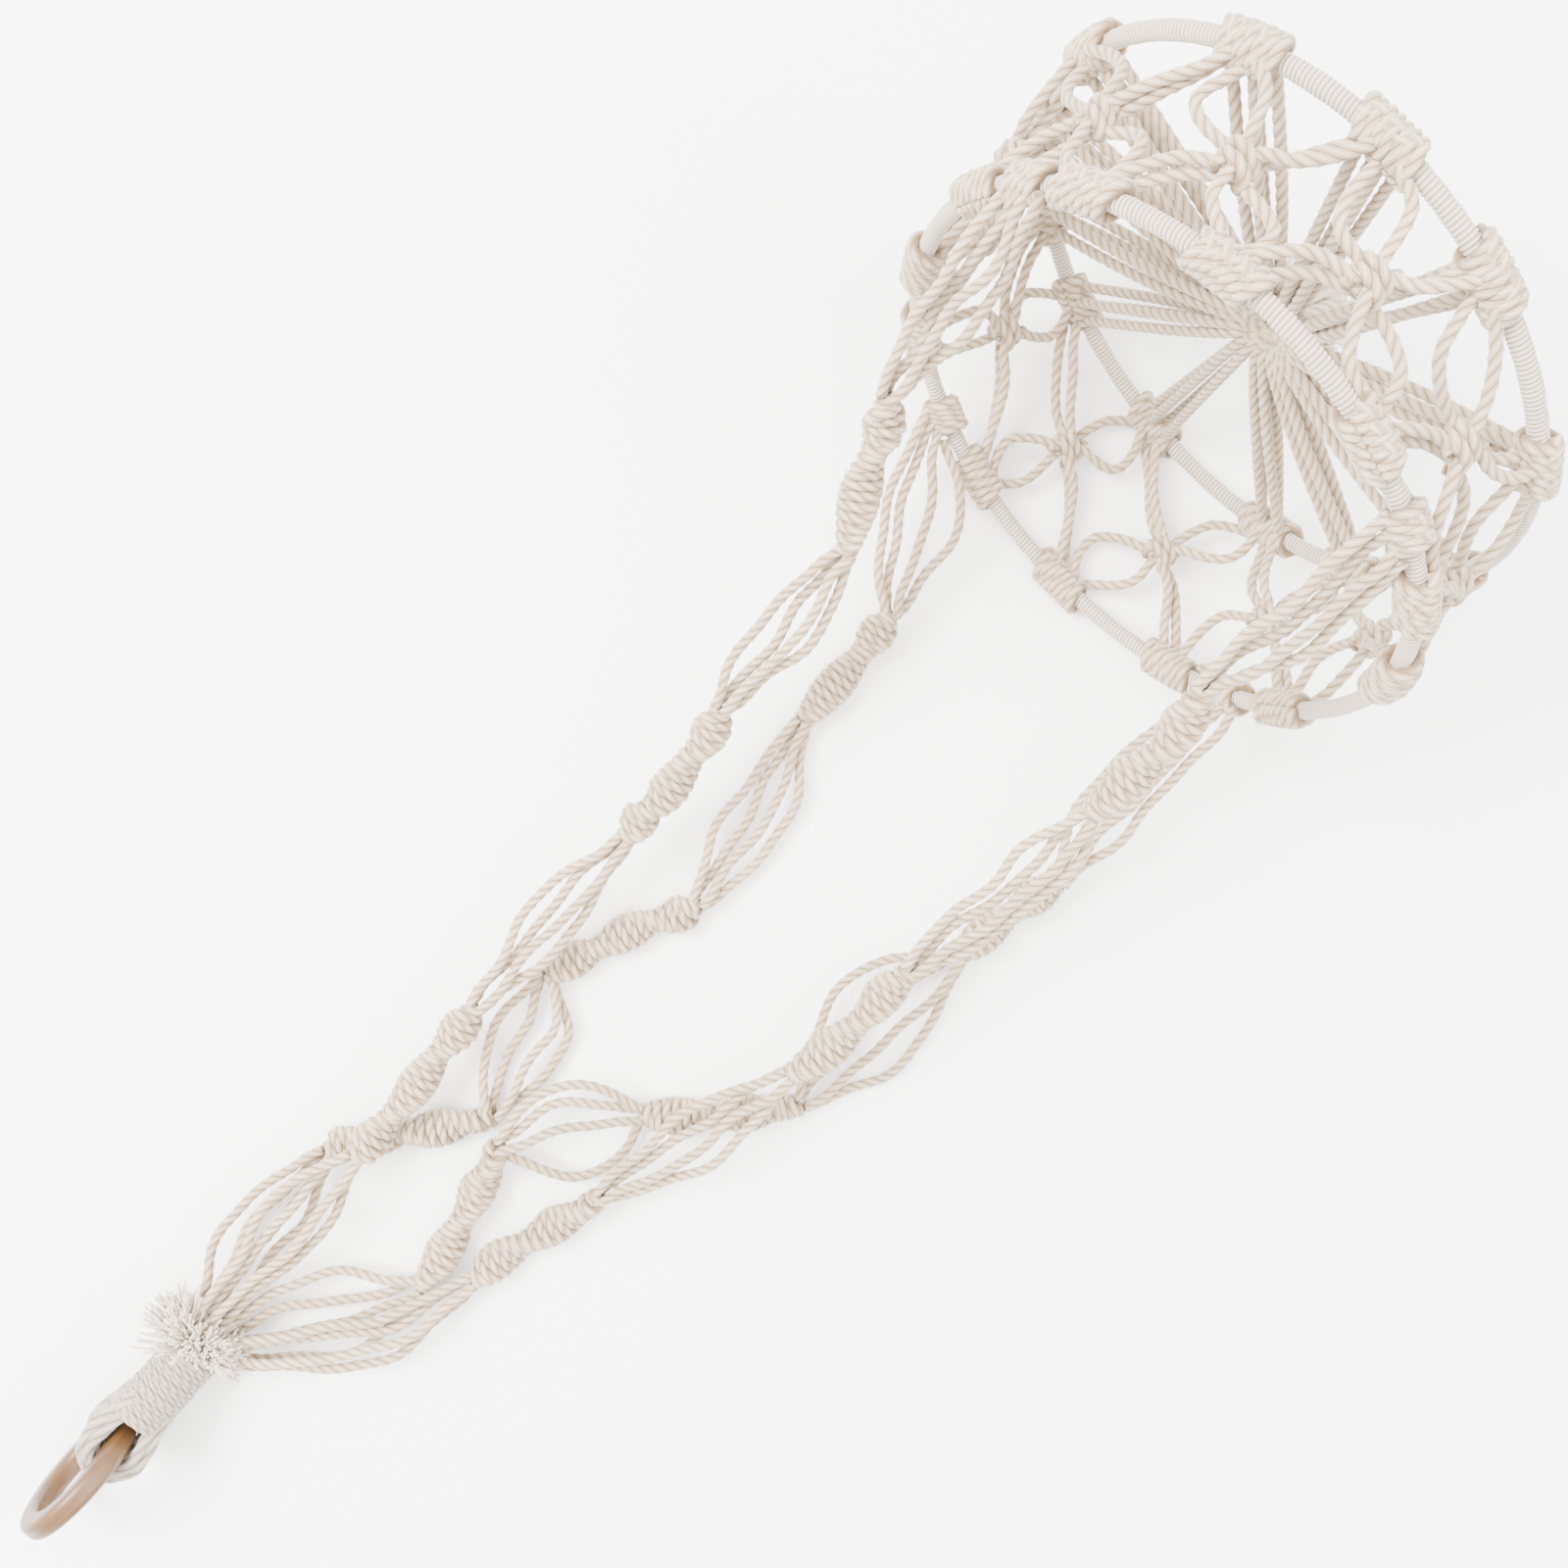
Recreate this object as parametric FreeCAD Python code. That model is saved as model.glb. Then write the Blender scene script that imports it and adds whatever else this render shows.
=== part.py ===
import FreeCAD, Part
import math
import os

# Hanging macrame planter, lying on a table as it is laid out for display.
# Millimetres. X runs from the wooden ring towards the bottom of the basket, Z is up
# from the table, and the origin is in the middle of the piece, on the table.

V = FreeCAD.Vector
os.makedirs("parts", exist_ok=True)

# ---------------------------------------------------------------- driving sizes
CORD_D = 3.7              # three-strand cotton cord
CORD_GAP = 0.25           # room left between two cords that lie side by side
FIT_GAP = 0.3             # room left between two pieces that move on each other

HOOP_R = 100.0            # centreline radius of both basket hoops
HOOP_WIRE_D = 3.2         # bare hoop wire
WRAP_D = 6.0              # hoop with its cord wrapping
HITCH_D = 12.4            # hoop, wrapping and the hitches over it

RING_OUTER_D = 50.0       # wooden hanging ring
RING_THICK = 8.0          # wood section, across the ring's face
RING_DEEP = 8.2           # wood section, along the ring's axis
RING_ROUND = 2.6          # rounding of the wood's corners

HEAD_WRAP_D = 22.0        # gathering wrap
HEAD_WRAP_TURNS = 17
HEAD_RIDGE = 0.7          # how far each turn of the wrap stands out
HEAD_CORE_D = 20.0        # cords inside the loop's neck

NECK_D = 9.4              # spiral where it is seen edge on
BULGE_D = 15.0            # spiral where it is seen flat
KNOT_D = 13.0             # single knot at the end of a spiral
SPIRAL_REACH = 2.5        # how far a spiral runs on over the loose cords at its ends

NET_KNOT_D = 11.0
NET_KNOT_LENGTH = 9.0
NET_KNOT_SINK = 3.0       # how far inside the hoops' cylinder the net knots lie

BASE_KNOT_D = 33.0
BASE_KNOT_THICK = 10.5
BASE_CORD_END_R = 16.6    # where the spokes run into the middle knot
BASE_TUFT_SMALL_D = 22.0
BASE_TUFT_LARGE_D = 46.0

HEAD_TUFT_SMALL_D = 24.0
HEAD_TUFT_LARGE_D = 33.0

# ---------------------------------------------------------------- where things lie
UPPER_HOOP_AT = V(224, -2, 103.6)
UPPER_HOOP_LEAN = 13.0    # degrees that the hoop leans away from the ring
UPPER_HOOP_YAW = 0.0
LOWER_HOOP_AT = V(282, 5, 105.2)
LOWER_HOOP_LEAN = 8.0
LOWER_HOOP_YAW = -2.0

# Angles round a hoop are counted from its lowest point towards +Y.
UPPER_GROUPS = (23, 61, 80, 112, 139, 166, 199, 231, 254, 292, 323, 354)
LOWER_GROUPS = (33, 56, 80, 105, 145, 172, 197, 232, 275, 303, 326, 361)
GROUP_HALF_ANGLE = 6.3
ARM_HALF_ANGLE = 4.4
ARM_SPREAD = 5.2          # between an arm's cords where they meet the upper hoop
ARM_AT_HOOP = {"a": 126, "b": 39, "c": 216, "d": 307}

WOOD_RING_AT = V(-290.6, -15.2, 25.4)
WOOD_RING_LEAN = 14.0     # degrees that its plane leans from upright, top towards -Y
HEAD_WRAP_START = V(-263, -14, 26)
HEAD_WRAP_END = V(-229.5, -9.7, 16)
HEAD_TUFT_START = V(-231, -10, 19)
HEAD_TUFT_END = V(-213, -7, 21)
ARM_AT_HEAD = {"a": (1, 1), "b": (1, -1), "c": (-1, 1), "d": (-1, -1)}

# Each arm has three spirals. Their middle lines run from the ring towards the basket.
# The second value of each pair is "knot", "neck" or "bulge": what the spiral is there.
SPIRALS = {
    "a": (
        ((-139, 4, 20, "neck"), (-132, 4, 21, "knot"), (-119, 6, 20, "neck"),
         (-105, 8, 19, "bulge"), (-90, 12, 19, "neck"), (-79, 13, 20, "bulge"), (-69, 15, 21, "neck")),
        ((15, 24, 27, "neck"), (24, 26, 29, "knot"), (29, 26, 31, "neck"),
         (39, 26, 34, "bulge"), (55, 30, 39, "neck"), (65, 31, 42, "knot"), (73, 35, 45, "neck")),
        ((140, 44, 72, "neck"), (144, 47, 75, "neck"), (157, 56, 84, "bulge"),
         (168, 62, 90, "neck"), (175, 65, 96, "knot"), (180, 70, 101, "neck")),
    ),
    "b": (
        ((-150, 12, 8, "neck"), (-144, 11, 8, "knot"), (-136, 7, 8, "neck"),
         (-123, -2, 8, "neck"), (-112, -10, 8, "bulge"), (-102, -16, 7, "neck"), (-95, -20, 6, "neck")),
        ((-43, 7, 8, "neck"), (-32, 4, 8, "bulge"), (-22, 1, 8, "neck"),
         (-9, -2, 8, "bulge"), (2, -6, 8, "neck"), (10, -11, 8, "knot"), (17, -12, 9, "neck")),
        ((93, 13, 8.5, "neck"), (111, 15, 10, "bulge"),
         (127, 17, 12, "neck"), (136, 19, 13, "knot"), (144, 20, 15, "neck")),
    ),
    "c": (
        ((-141, -61, 9, "neck"), (-129, -61, 8, "bulge"), (-115, -64, 9, "neck"),
         (-103, -66, 10, "bulge"), (-91, -69, 12, "neck"), (-83, -69, 14, "neck")),
        ((3, -80, 33, "neck"), (10, -81, 35, "neck"), (24, -82, 38, "bulge"),
         (39, -81, 42, "neck"), (51, -79, 45, "bulge"), (61, -79, 48, "neck")),
        ((140, -75, 88, "neck"), (147, -74, 92, "neck"), (159, -73, 98, "bulge"),
         (171, -72, 105, "neck"), (181, -69, 112, "knot"), (188, -65, 118, "neck")),
    ),
    "d": (
        ((-158, -49, 8, "neck"), (-153, -48, 8, "neck"), (-140, -45, 8, "bulge"),
         (-127, -40, 8, "neck"), (-115, -36, 9, "bulge"), (-104, -32, 14, "neck"), (-98, -29, 18, "neck")),
        ((-52, -57, 8, "neck"), (-41, -68, 8, "bulge"), (-31, -77, 8, "neck"),
         (-21, -84, 8, "bulge"), (-11, -91, 8, "neck"), (-4, -95, 8, "neck")),
        ((78, -93, 8, "neck"), (92, -93, 8, "bulge"), (105, -94, 9, "neck"),
         (115, -95, 10, "bulge"), (125, -97, 12, "neck")),
    ),
}

# Loose cords, four in each stretch, from the ring's end to the basket's end. Each row
# is how far a cord bows sideways, to +Y or up, a quarter, a half and three quarters along.
LOOSE = {
    "a": (
        ((5, 10, 13), (2, 4, 7), (-2, -5, -6), (-6, -9, -10)),
        ((5, 10, 8), (2, 4, 3), (-3, -1, -4), (-7, -8, -6)),
        ((7, 9, 7), (2, -1, 3), (-3, -6, -2), (-6, -10, -8)),
        ((5, 7, 4), (1, 3, -1), (-3, -2, -6), (-8, -9, -11)),
    ),
    "b": (
        ((10, 16, 13), (5, 8, 5), (-1, 2, -2), (-7, -5, -8)),
        ((11, 12, 7), (3, 4, -2), (-4, -8, -11), (-10, -15, -16)),
        ((8, 7, 6), (2, -1, 1), (-4, -7, -5), (-12, -14, -11)),
        ((9, 12, 8), (3, 7, 3), (-3, -5, -4), (-11, -18, -14)),
    ),
    "c": (
        ((0, -3, -3), (-3, -7, -9), (-10, -15, -13), (-15, -20, -19)),
        ((7, 9, 8), (2, 1, 4), (-4, -5, -2), (-10, -12, -9)),
        ((6, 5, 7), (1, -1, 0), (-4, -5, -7), (-8, -10, -12)),
        ((5, 4, 6), (0, -1, 1), (-4, -6, -5), (-8, -10, -9)),
    ),
    "d": (
        ((13, 16, 12), (6, 5, 1), (-1, -3, -6), (-12, -17, -16)),
        ((14, 21, 15), (8, 12, 7), (2, 3, -1), (-12, -22, -17)),
        ((17, 25, 18), (4, 7, 5), (-3, -5, -4), (-12, -15, -11)),
        ((13, 16, 11), (7, 8, 4), (1, 0, -2), (-6, -7, -7)),
    ),
}

# How far a stretch arches up over what lies beneath it.
NO_LIFT = (0, 0, 0, 0)
LIFTS = {
    "a": (NO_LIFT, (2, 2, 2, 2), NO_LIFT, NO_LIFT),
    "b": (NO_LIFT, NO_LIFT, NO_LIFT, NO_LIFT),
    "c": ((5, 5, 4, 3), (1, 1, 1, 1), NO_LIFT, NO_LIFT),
    "d": (NO_LIFT, (7, 7, 6, -4), NO_LIFT, NO_LIFT),
}

# Bows of the net cords, used in turn round the basket.
NET_BOWS = (4.0, 7.5, 2.5, 6.0, 3.0, 8.0, 5.0)
SPOKE_SAGS = (1.2, 2.4, 0.8, 1.8, 2.9)

radii = []


# ---------------------------------------------------------------- helpers
def save(name, solids):
    """Write one node and say how big it is."""
    shape = solids[0] if len(solids) == 1 else Part.makeCompound(solids)
    valid = all(s.isValid() for s in solids)
    shape.exportStep("parts/" + name + ".step")
    box = shape.BoundBox
    print(name, len(solids), "solids", "valid" if valid else "INVALID", round(shape.Volume),
          [round(v, 1) for v in (box.XMin, box.YMin, box.ZMin, box.XMax, box.YMax, box.ZMax)],
          "smallest cord radius " + str(round(min(radii), 1)) if radii else "")
    radii.clear()


def hoop_axes(lean, yaw):
    """Normal, downward and sideways directions of a hoop's plane."""
    a = math.radians(lean)
    b = math.radians(yaw)
    normal = V(math.cos(a) * math.cos(b), math.cos(a) * math.sin(b), -math.sin(a))
    side = V(-math.sin(b), math.cos(b), 0)
    down = normal.cross(side) * -1
    if down.z > 0:
        down = down * -1
    return normal, down, side


def on_hoop(hoop, angle, radius=HOOP_R):
    """A point on a hoop, and the direction along the hoop there."""
    at, (normal, down, side) = hoop
    t = math.radians(angle)
    out = down * math.cos(t) + side * math.sin(t)
    along = side * math.cos(t) - down * math.sin(t)
    return at + out * radius, out, along


def tube(points, diameter):
    """A cord's tube: straight runs joined by tangent arcs."""
    edges = []
    start = points[0]
    length = 0.0
    for before, corner, after in zip(points, points[1:], points[2:]):
        run_in = corner - before
        run_out = after - corner
        half_turn = run_in.getAngle(run_out) / 2
        if half_turn < 0.004:
            print("nearly straight at", [round(v) for v in corner])
            continue
        shorter = min(run_in.Length, run_out.Length)
        cut = 0.45 * shorter
        radius = cut / math.tan(half_turn)
        radii.append(radius)
        u = V(run_in).normalize()
        w = V(run_out).normalize()
        first = corner - u * cut
        last = corner + w * cut
        inward = (w - u).normalize()
        middle = corner + inward * (radius / math.cos(half_turn) - radius)
        edges.append(Part.LineSegment(start, first).toShape())
        edges.append(Part.Arc(first, middle, last).toShape())
        length += (first - start).Length + radius * 2 * half_turn
        start = last
    edges.append(Part.LineSegment(start, points[-1]).toShape())
    length += (points[-1] - start).Length
    path = Part.Wire(edges)
    direction = points[1] - points[0]
    profile = Part.Wire(Part.makeCircle(diameter / 2, points[0], direction))
    solid = path.makePipeShell([profile], True, False)
    solid = Part.Solid(solid) if solid.ShapeType == "Shell" else solid
    wanted = math.pi * diameter ** 2 / 4 * length
    if abs(solid.Volume / wanted - 1) > 0.01:
        print("tube volume is off by", round(solid.Volume / wanted, 3))
    return solid


def turned(profile, start, direction):
    """Turn an outline of (along, radius) points about an axis."""
    axis = V(direction).normalize()
    across = axis.cross(V(0, 0, 1)).normalize()
    corners = [start + axis * x + across * r for x, r in profile]
    corners.append(start + axis * profile[-1][0])
    corners.append(start + axis * profile[0][0])
    corners.append(corners[0])
    face = Part.Face(Part.makePolygon(corners))
    return face.revolve(start, axis, 360)


def spindle(first, last, radius_first, radius_last):
    """A round taper between two points."""
    direction = last - first
    if abs(radius_first - radius_last) < 0.01:
        return Part.makeCylinder(radius_first, direction.Length, first, direction)
    return Part.makeCone(radius_first, radius_last, direction.Length, first, direction)


def spiral_solid(stations, room=0):
    """A tapering solid through a circle at each station, reaching a little past its ends."""
    sizes = {"neck": NECK_D / 2 + room, "bulge": BULGE_D / 2 + room, "knot": KNOT_D / 2 + room}
    points = [V(*s[:3]) for s in stations]
    circle_radii = [sizes[s[3]] for s in stations]
    lead = (points[0] - points[1]).normalize() * (SPIRAL_REACH + room)
    tail = (points[-1] - points[-2]).normalize() * (SPIRAL_REACH + room)
    points = [points[0] + lead] + points + [points[-1] + tail]
    circle_radii = circle_radii[:1] + circle_radii + circle_radii[-1:]
    wires = []
    for number, (point, radius) in enumerate(zip(points, circle_radii)):
        before = points[max(number - 1, 0)]
        after = points[min(number + 1, len(points) - 1)]
        direction = (after - before).normalize()
        across = V(0, 0, 1).cross(direction).normalize()
        turn = FreeCAD.Rotation(across, direction.cross(across), direction, "ZXY")
        circle = Part.Circle(V(0, 0, 0), V(0, 0, 1), radius).toShape()
        circle.Placement = FreeCAD.Placement(point, turn)
        wires.append(Part.Wire(circle))
    return Part.makeLoft(wires, True, True)


def stretch_axes(first, last):
    """Directions along, sideways to +Y, and up for a stretch of cords."""
    along = (last - first).normalize()
    side = V(0, 0, 1).cross(along).normalize()
    up = along.cross(side).normalize()
    return along, side, up


# How the four cords of an arm are stacked: sideways and up, in cord spacings.
STACK = ((0.5, 0.5), (0.5, -0.5), (-0.5, 0.5), (-0.5, -0.5))
SPACING = CORD_D + CORD_GAP


def loose_cords(first, last, bows, lifts, last_points=None):
    """Four cords from one stacked end to the other, each with its own bow."""
    along, side, up = stretch_axes(first, last)
    solids = []
    for (s, u), bow, number in zip(STACK, bows, range(4)):
        corner = side * (s * SPACING) + up * (u * SPACING)
        route = [first + corner]
        for part, value, share in zip((0.25, 0.5, 0.75), bow, (0.8, 1.0, 0.7)):
            middle = first + (last - first) * part
            rise = u * SPACING + lifts[number] * share
            route.append(middle + side * value + up * rise)
        route.append(last_points[number] if last_points else last + corner)
        solids.append(tube(route, CORD_D))
    return solids


def trimmed(cord, cutter):
    """A cord cut back so that it stops just short of a piece that moves on its own."""
    return max(cord.cut(cutter).Solids, key=lambda piece: piece.Volume)


# ---------------------------------------------------------------- wooden ring
lean = math.radians(WOOD_RING_LEAN)
ring_axis = V(0, math.cos(lean), math.sin(lean))
ring_up = V(0, -math.sin(lean), math.cos(lean))
wood_mean_r = (RING_OUTER_D - RING_THICK) / 2
flat = Part.makePlane(RING_THICK, RING_DEEP, V(wood_mean_r - RING_THICK / 2, -RING_DEEP / 2, 0))
blank = flat.revolve(V(0, 0, 0), V(0, 1, 0), 360)
wood = blank.makeFillet(RING_ROUND, blank.Edges)
turn = FreeCAD.Rotation(V(0, 1, 0), ring_axis)
wood.Placement = FreeCAD.Placement(WOOD_RING_AT, turn)
save("wood_ring", [wood])

# ---------------------------------------------------------------- loop through the ring
# Cords pass round the wood, side by side along it, and their legs run into the wrap.
BAR = WOOD_RING_AT + V(wood_mean_r, 0, 0)
LOOP_CORDS = 5
LOOP_SLACK = 2.5           # room for the ring to swing inside the loop
loop_bend_r = RING_DEEP / 2 + FIT_GAP + CORD_D / 2 + LOOP_SLACK
legs_end = HEAD_WRAP_START + (HEAD_WRAP_END - HEAD_WRAP_START).normalize() * 12
solids = []
for number in range(LOOP_CORDS):
    level = (number - (LOOP_CORDS - 1) / 2) * SPACING
    centre = BAR + ring_up * level
    # the wood curves away from a cord that crosses it above or below its middle
    centre = centre - V(wood_mean_r - math.sqrt(wood_mean_r ** 2 - level ** 2), 0, 0)
    out_side = ring_axis * loop_bend_r
    inner_side = V(loop_bend_r, 0, 0)
    target = legs_end + ring_up * level
    route = [target + out_side * 0.6, centre + out_side - inner_side,
             centre - out_side - inner_side, target - out_side * 0.6]
    solids.append(tube(route, CORD_D))
save("head_loop", solids)

# ---------------------------------------------------------------- gathering wrap
wrap_dir = HEAD_WRAP_END - HEAD_WRAP_START
turn_length = wrap_dir.Length / HEAD_WRAP_TURNS
profile = []
for number in range(HEAD_WRAP_TURNS):
    x = number * turn_length
    profile.append((x, HEAD_WRAP_D / 2 - HEAD_RIDGE))
    profile.append((x + turn_length * 0.3, HEAD_WRAP_D / 2))
    profile.append((x + turn_length * 0.7, HEAD_WRAP_D / 2))
profile.append((wrap_dir.Length, HEAD_WRAP_D / 2 - HEAD_RIDGE))
save("head_wrap", [turned(profile, HEAD_WRAP_START, wrap_dir)])

# ---------------------------------------------------------------- frayed tuft over the wrap's end
tuft_dir = HEAD_TUFT_END - HEAD_TUFT_START
tuft = spindle(HEAD_TUFT_START, HEAD_TUFT_END, HEAD_TUFT_SMALL_D / 2, HEAD_TUFT_LARGE_D / 2)
save("head_tuft", [tuft])

# ---------------------------------------------------------------- hoops
upper = (UPPER_HOOP_AT, hoop_axes(UPPER_HOOP_LEAN, UPPER_HOOP_YAW))
lower = (LOWER_HOOP_AT, hoop_axes(LOWER_HOOP_LEAN, LOWER_HOOP_YAW))


def hoop_tube(hoop, outer_d, inner_d):
    at, (normal, down, side) = hoop
    outside = Part.makeTorus(HOOP_R, outer_d / 2, at, normal)
    if inner_d:
        outside = outside.cut(Part.makeTorus(HOOP_R, inner_d / 2, at, normal))
    return outside


def sleeve(hoop, angle, half_angle):
    """Hitches that grip the wrapped hoop over a short arc."""
    at, (normal, down, side) = hoop
    centre, out, along = on_hoop(hoop, angle - half_angle)
    outer = Part.Face(Part.Wire(Part.makeCircle(HITCH_D / 2, centre, along)))
    inner = Part.Face(Part.Wire(Part.makeCircle(WRAP_D / 2, centre, along)))
    face = outer.cut(inner).Faces[0]
    turn_way = 1 if (down.cross(side)).dot(normal) > 0 else -1
    return face.revolve(at, normal * turn_way, 2 * half_angle)


for name, hoop, groups in (("upper", upper, UPPER_GROUPS), ("lower", lower, LOWER_GROUPS)):
    save(name + "_hoop", [hoop_tube(hoop, HOOP_WIRE_D, 0)])
    save(name + "_hoop_wrap", [hoop_tube(hoop, WRAP_D, HOOP_WIRE_D)])
    save(name + "_hitches", [sleeve(hoop, angle, GROUP_HALF_ANGLE) for angle in groups])
save("arm_hitches", [sleeve(upper, angle, ARM_HALF_ANGLE) for angle in ARM_AT_HOOP.values()])

# ---------------------------------------------------------------- arms
hoop_room = hoop_tube(upper, HITCH_D + 2 * FIT_GAP, 0)
head_dir, head_side, head_up = stretch_axes(HEAD_WRAP_START, HEAD_WRAP_END)
for arm, spirals in SPIRALS.items():
    for number, stations in enumerate(spirals, 1):
        save("arm_" + arm + "_spiral_" + str(number), [spiral_solid(stations)])
    ends = [(V(*s[0][:3]), V(*s[-1][:3])) for s in spirals]
    shift_side, shift_up = ARM_AT_HEAD[arm]
    head_point = HEAD_WRAP_END + head_side * (shift_side * SPACING) + head_up * (shift_up * SPACING)
    hoop_point, out, along = on_hoop(upper, ARM_AT_HOOP[arm])
    normal = upper[1][0]
    row = []
    for place in (1.5, 0.5, -0.5, -1.5):
        if along.y < 0:
            place = -place
        row.append(hoop_point + along * (place * ARM_SPREAD) - normal * (HITCH_D / 2 - 1.5))
    stretches = (
        (head_point, ends[0][0], None),
        (ends[0][1], ends[1][0], None),
        (ends[1][1], ends[2][0], None),
        (ends[2][1], hoop_point - normal * (HITCH_D / 2), row),
    )
    for number, (first, last, last_points) in enumerate(stretches, 1):
        bows = LOOSE[arm][number - 1]
        solids = loose_cords(first, last, bows, LIFTS[arm][number - 1], last_points)
        if number == 1:
            room = spiral_solid(spirals[0][:2], FIT_GAP)
            solids = [trimmed(cord, room) for cord in solids]
        if number == 4:
            solids = [trimmed(cord, hoop_room) for cord in solids]
        save("arm_" + arm + "_loose_" + str(number), solids)

# ---------------------------------------------------------------- net between the hoops
count = len(UPPER_GROUPS)
knots = []
upper_cords = []
lower_cords = []
bow_number = 0
for number in range(count):
    after = (number + 1) % count
    lap = 360 if after == 0 else 0
    angle = (UPPER_GROUPS[number] + UPPER_GROUPS[after] + lap
             + LOWER_GROUPS[number] + LOWER_GROUPS[after] + lap) / 4
    p1, out1, along1 = on_hoop(upper, angle, HOOP_R - NET_KNOT_SINK)
    p2, out2, along2 = on_hoop(lower, angle, HOOP_R - NET_KNOT_SINK)
    middle = (p1 + p2) * 0.5
    out = (out1 + out2).normalize()
    axis = (p2 - p1).normalize()
    along = out.cross(axis).normalize()
    if along.dot(along1) < 0:
        along = along * -1
    half = NET_KNOT_LENGTH / 2
    r = NET_KNOT_D / 2
    profile = ((-half, r * 0.7), (-half * 0.6, r), (half * 0.6, r), (half, r * 0.7))
    knots.append(turned(profile, middle, axis))
    room = [(x * (1 + FIT_GAP / half), y + FIT_GAP) for x, y in profile]
    knot_room = turned(room, middle, axis)
    for hoop, groups, way, cords in (
        (upper, UPPER_GROUPS, -1, upper_cords),
        (lower, LOWER_GROUPS, 1, lower_cords),
    ):
        normal = hoop[1][0]
        for group, turned_by, sign in ((number, 0, -1), (after, lap, 1)):
            for outer in (0, 1):
                # a group's own pair leaves it on the side that faces this knot
                place = (0.5 + outer) * -sign
                layer = (0.5 - outer) * SPACING * sign * way
                spot, out_h, along_h = on_hoop(hoop, groups[group] + turned_by)
                start = spot + along_h * (place * SPACING) - normal * (way * (HITCH_D / 2 - 1.2))
                start = start + out_h * layer
                end = middle + along * (sign * (0.5 + (1 - outer)) * SPACING * 0.5)
                end = end + axis * (way * (half - 1.2)) + out * layer
                bow = NET_BOWS[bow_number % len(NET_BOWS)]
                bow_number += 1
                share = 0.25 if outer else 0.7
                halfway = (start + end) * 0.5 + along * (sign * bow * share)
                halfway = halfway + out * (layer * 0.3)
                cords.append(trimmed(tube([start, halfway, end], CORD_D), knot_room))
save("net_knots", knots)
save("net_cords_upper", upper_cords)
save("net_cords_lower", lower_cords)

# ---------------------------------------------------------------- bottom of the basket
normal, down, side = lower[1]
spokes = []
spoke_number = 0
for number, group in enumerate(LOWER_GROUPS):
    middle_angle = LOWER_GROUPS[0] + number * 360 / count
    for cord in range(4):
        layer = 0.5 if cord % 2 else -0.5
        place = cord - 1.5
        spot, out_h, along_h = on_hoop(lower, group, HOOP_R - HITCH_D / 2 + 1)
        start = spot + along_h * (place * SPACING) + normal * (layer * SPACING)
        inner, out_m, along_m = on_hoop(lower, middle_angle, BASE_CORD_END_R - 1.5)
        end = inner + along_m * ((0.5 if cord > 1 else -0.5) * SPACING) + normal * (layer * SPACING)
        sag = SPOKE_SAGS[spoke_number % len(SPOKE_SAGS)]
        spoke_number += 1
        halfway = (start + end) * 0.5 + normal * (sag * (1 if layer > 0 else -1))
        spokes.append(tube([start, halfway, end], CORD_D))
save("base_cords", spokes)

half = BASE_KNOT_THICK / 2
r = BASE_KNOT_D / 2
profile = ((-half, r * 0.6), (-half * 0.6, r), (half * 0.6, r), (half, r * 0.7))
save("base_knot", [turned(profile, LOWER_HOOP_AT, normal)])

tuft_dir = V(0.75, -0.15, -0.62).normalize()
tail_start = LOWER_HOOP_AT + normal * half
tail = spindle(tail_start, tail_start + tuft_dir * 21, BASE_TUFT_SMALL_D / 2, BASE_TUFT_LARGE_D / 2)
save("base_tuft", [tail])
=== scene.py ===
import bpy
import math
import numpy as np
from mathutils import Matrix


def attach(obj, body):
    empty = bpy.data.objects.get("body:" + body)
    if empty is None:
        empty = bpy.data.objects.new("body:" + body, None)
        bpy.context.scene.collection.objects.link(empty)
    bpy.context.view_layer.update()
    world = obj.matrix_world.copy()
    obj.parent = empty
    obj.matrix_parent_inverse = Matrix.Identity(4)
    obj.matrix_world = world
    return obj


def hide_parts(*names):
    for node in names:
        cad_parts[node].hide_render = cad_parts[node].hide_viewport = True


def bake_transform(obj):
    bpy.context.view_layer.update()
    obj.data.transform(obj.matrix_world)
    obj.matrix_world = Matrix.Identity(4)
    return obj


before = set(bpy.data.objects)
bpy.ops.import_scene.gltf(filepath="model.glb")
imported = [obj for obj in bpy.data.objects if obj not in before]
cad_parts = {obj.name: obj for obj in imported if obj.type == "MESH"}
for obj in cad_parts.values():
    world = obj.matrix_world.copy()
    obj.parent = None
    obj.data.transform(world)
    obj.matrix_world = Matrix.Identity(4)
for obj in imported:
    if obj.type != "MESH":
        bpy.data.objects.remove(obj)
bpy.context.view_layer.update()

# Hanging macrame planter, lying on a pale floor. Positions are written in millimetres,
# as the solid model has them, and turned into metres where a mesh is made.
MM = 0.001
chance = np.random.default_rng(11)


def P(x, y, z):
    return np.array((x, y, z), float)


def unit(v):
    return v / np.linalg.norm(v)


# ---------------------------------------------------------------- sizes, as in the solid model
CORD_D = 3.7
SPACING = 3.95
HOOP_R = 100.0
WRAP_D = 6.0
HITCH_D = 12.4
NECK_D = 9.4
BULGE_D = 15.0
NET_KNOT_LENGTH = 9.0
NET_KNOT_SINK = 3.0
NET_KNOT_HALF_WIDTH = 4.7
NET_KNOT_HALF_DEPTH = 3.3
BASE_CORD_END_R = 16.6      # where the spoke cords meet the gathering knot
WOOD_RING_AT = P(-290.6, -15.2, 25.4)
WOOD_RING_LEAN = math.radians(14)
RING_AXIS = P(0, math.cos(WOOD_RING_LEAN), math.sin(WOOD_RING_LEAN))
RING_UP = P(0, -math.sin(WOOD_RING_LEAN), math.cos(WOOD_RING_LEAN))
WOOD_MEAN_R = 21.0
WOOD_DEEP = 8.2
HEAD_WRAP_START = P(-263, -14, 26)
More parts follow.
